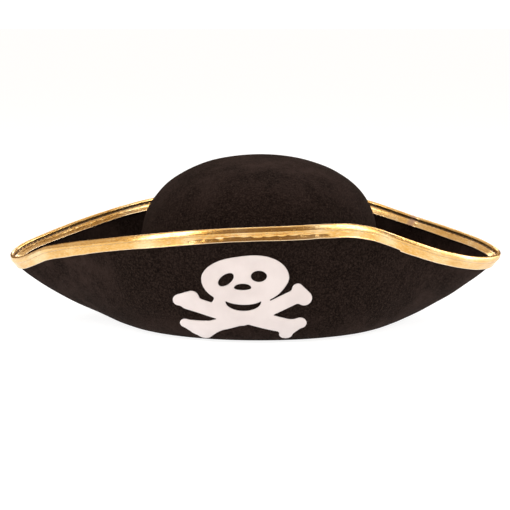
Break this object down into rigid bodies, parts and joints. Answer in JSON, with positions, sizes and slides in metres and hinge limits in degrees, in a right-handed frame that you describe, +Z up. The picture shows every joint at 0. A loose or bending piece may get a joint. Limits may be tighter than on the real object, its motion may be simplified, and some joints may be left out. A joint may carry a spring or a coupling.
{
  "type": "pirate hat",
  "caption": "Felt pirate hat: domed crown, wired brim turned up front and back with two pointed tips, gold edge binding and a white skull and crossed bones on the front flap.",
  "frame": {"origin": "middle of the head opening, on the level underside of the brim, at the middle of the hat's box from above", "axes": "+X from the left tip to the right tip as seen from the front, -Y towards the front flap, +Z up through the crown"},
  "size_m": [0.3632, 0.2958, 0.1217],
  "materials": {
    "felt_crown": "brown-black felt with a short nap",
    "felt_brim": "brown-black felt with a short nap",
    "gold_binding": "metallic gold cloth, satin sheen",
    "gold_thread": "matt golden polyester thread",
    "hat_wire": "plain steel wire",
    "joiner_brass": "plain crimped brass",
    "white_applique": "smooth white heat-set cloth",
    "sweatband_cloth": "plain woven black cotton",
    "black_thread": "black polyester thread",
    "label_satin": "blank white satin"
  },
  "bodies": {
    "root": {"crown": "felt_crown", "brim": "felt_brim", "edge_binding": "gold_binding", "binding_needle_thread": "gold_thread", "binding_bobbin_thread": "gold_thread", "rim_wire": "hat_wire", "wire_joiner": "joiner_brass", "skull_applique": "white_applique", "sweatband": "sweatband_cloth", "seam_needle_thread": "black_thread", "seam_bobbin_thread": "black_thread", "care_label": "label_satin"}
  },
  "joints": []
}
